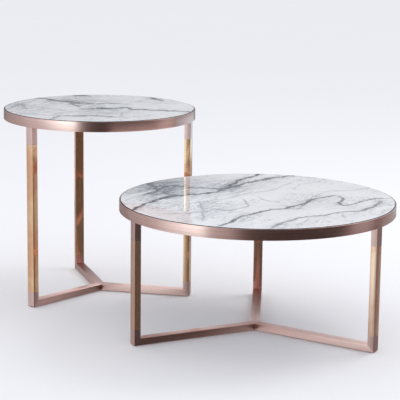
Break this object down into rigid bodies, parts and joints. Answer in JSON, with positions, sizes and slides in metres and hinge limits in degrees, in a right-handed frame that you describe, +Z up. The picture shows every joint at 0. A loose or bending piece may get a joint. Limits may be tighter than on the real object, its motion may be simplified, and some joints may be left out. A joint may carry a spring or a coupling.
{
  "type": "nesting tables",
  "caption": "Pair of round nesting tables, low and wide beside tall and narrow, with marble-print glass tops in brushed rose-gold rims on three-legged tube frames.",
  "frame": {"origin": "floor level, in the middle of the box round the pair as it stands nested", "axes": "+Z up; +X from the tall table's side to the low table's side, along the pair's longest side; -Y is the front"},
  "size_m": [1.1844, 1.1286, 0.5915],
  "materials": {
    "low_marble_glass": "gloss glass printed with white marble and grey-purple veins",
    "tall_marble_glass": "gloss glass printed with white marble and grey-purple veins",
    "clear_pad": "clear soft silicone",
    "brushed_band": "rose gold on stainless steel, brushed along the band",
    "inner_steel": "rose gold on stainless steel, mill finish under the glass",
    "leg_tube": "rose gold, mirror polished along the middle and brushed at both ends",
    "bar_tube": "rose gold, brushed along the bar",
    "glide": "matt"
  },
  "bodies": {
    "low_table": {"low_glass_pads": "clear_pad", "low_rim_band": "brushed_band", "low_glass_ledge": "inner_steel", "low_leg_right": "leg_tube", "low_leg_back": "leg_tube", "low_leg_left": "leg_tube", "low_floor_bar_right": "bar_tube", "low_floor_bar_back": "bar_tube", "low_floor_bar_left": "bar_tube", "low_floor_glides": "glide"},
    "low_glass": {"low_glass_top": "low_marble_glass"},
    "tall_table": {"tall_glass_pads": "clear_pad", "tall_rim_band": "brushed_band", "tall_glass_ledge": "inner_steel", "tall_leg_right": "leg_tube", "tall_leg_back": "leg_tube", "tall_leg_left": "leg_tube", "tall_floor_bar_right": "bar_tube", "tall_floor_bar_back": "bar_tube", "tall_floor_bar_left": "bar_tube", "tall_floor_glides": "glide"},
    "tall_glass": {"tall_glass_top": "tall_marble_glass"}
  },
  "joints": [
    {"name": "nest_slide", "type": "slide", "parent": "low_table", "child": "tall_table", "axis": [-0.749, 0.6626, 0], "range_m": [0, 0.3]},
    {"name": "low_glass_lift", "type": "slide", "parent": "low_table", "child": "low_glass", "axis": [0, 0, 1], "range_m": [0, 0.06]},
    {"name": "tall_glass_lift", "type": "slide", "parent": "tall_table", "child": "tall_glass", "axis": [0, 0, 1], "range_m": [0, 0.06]}
  ]
}
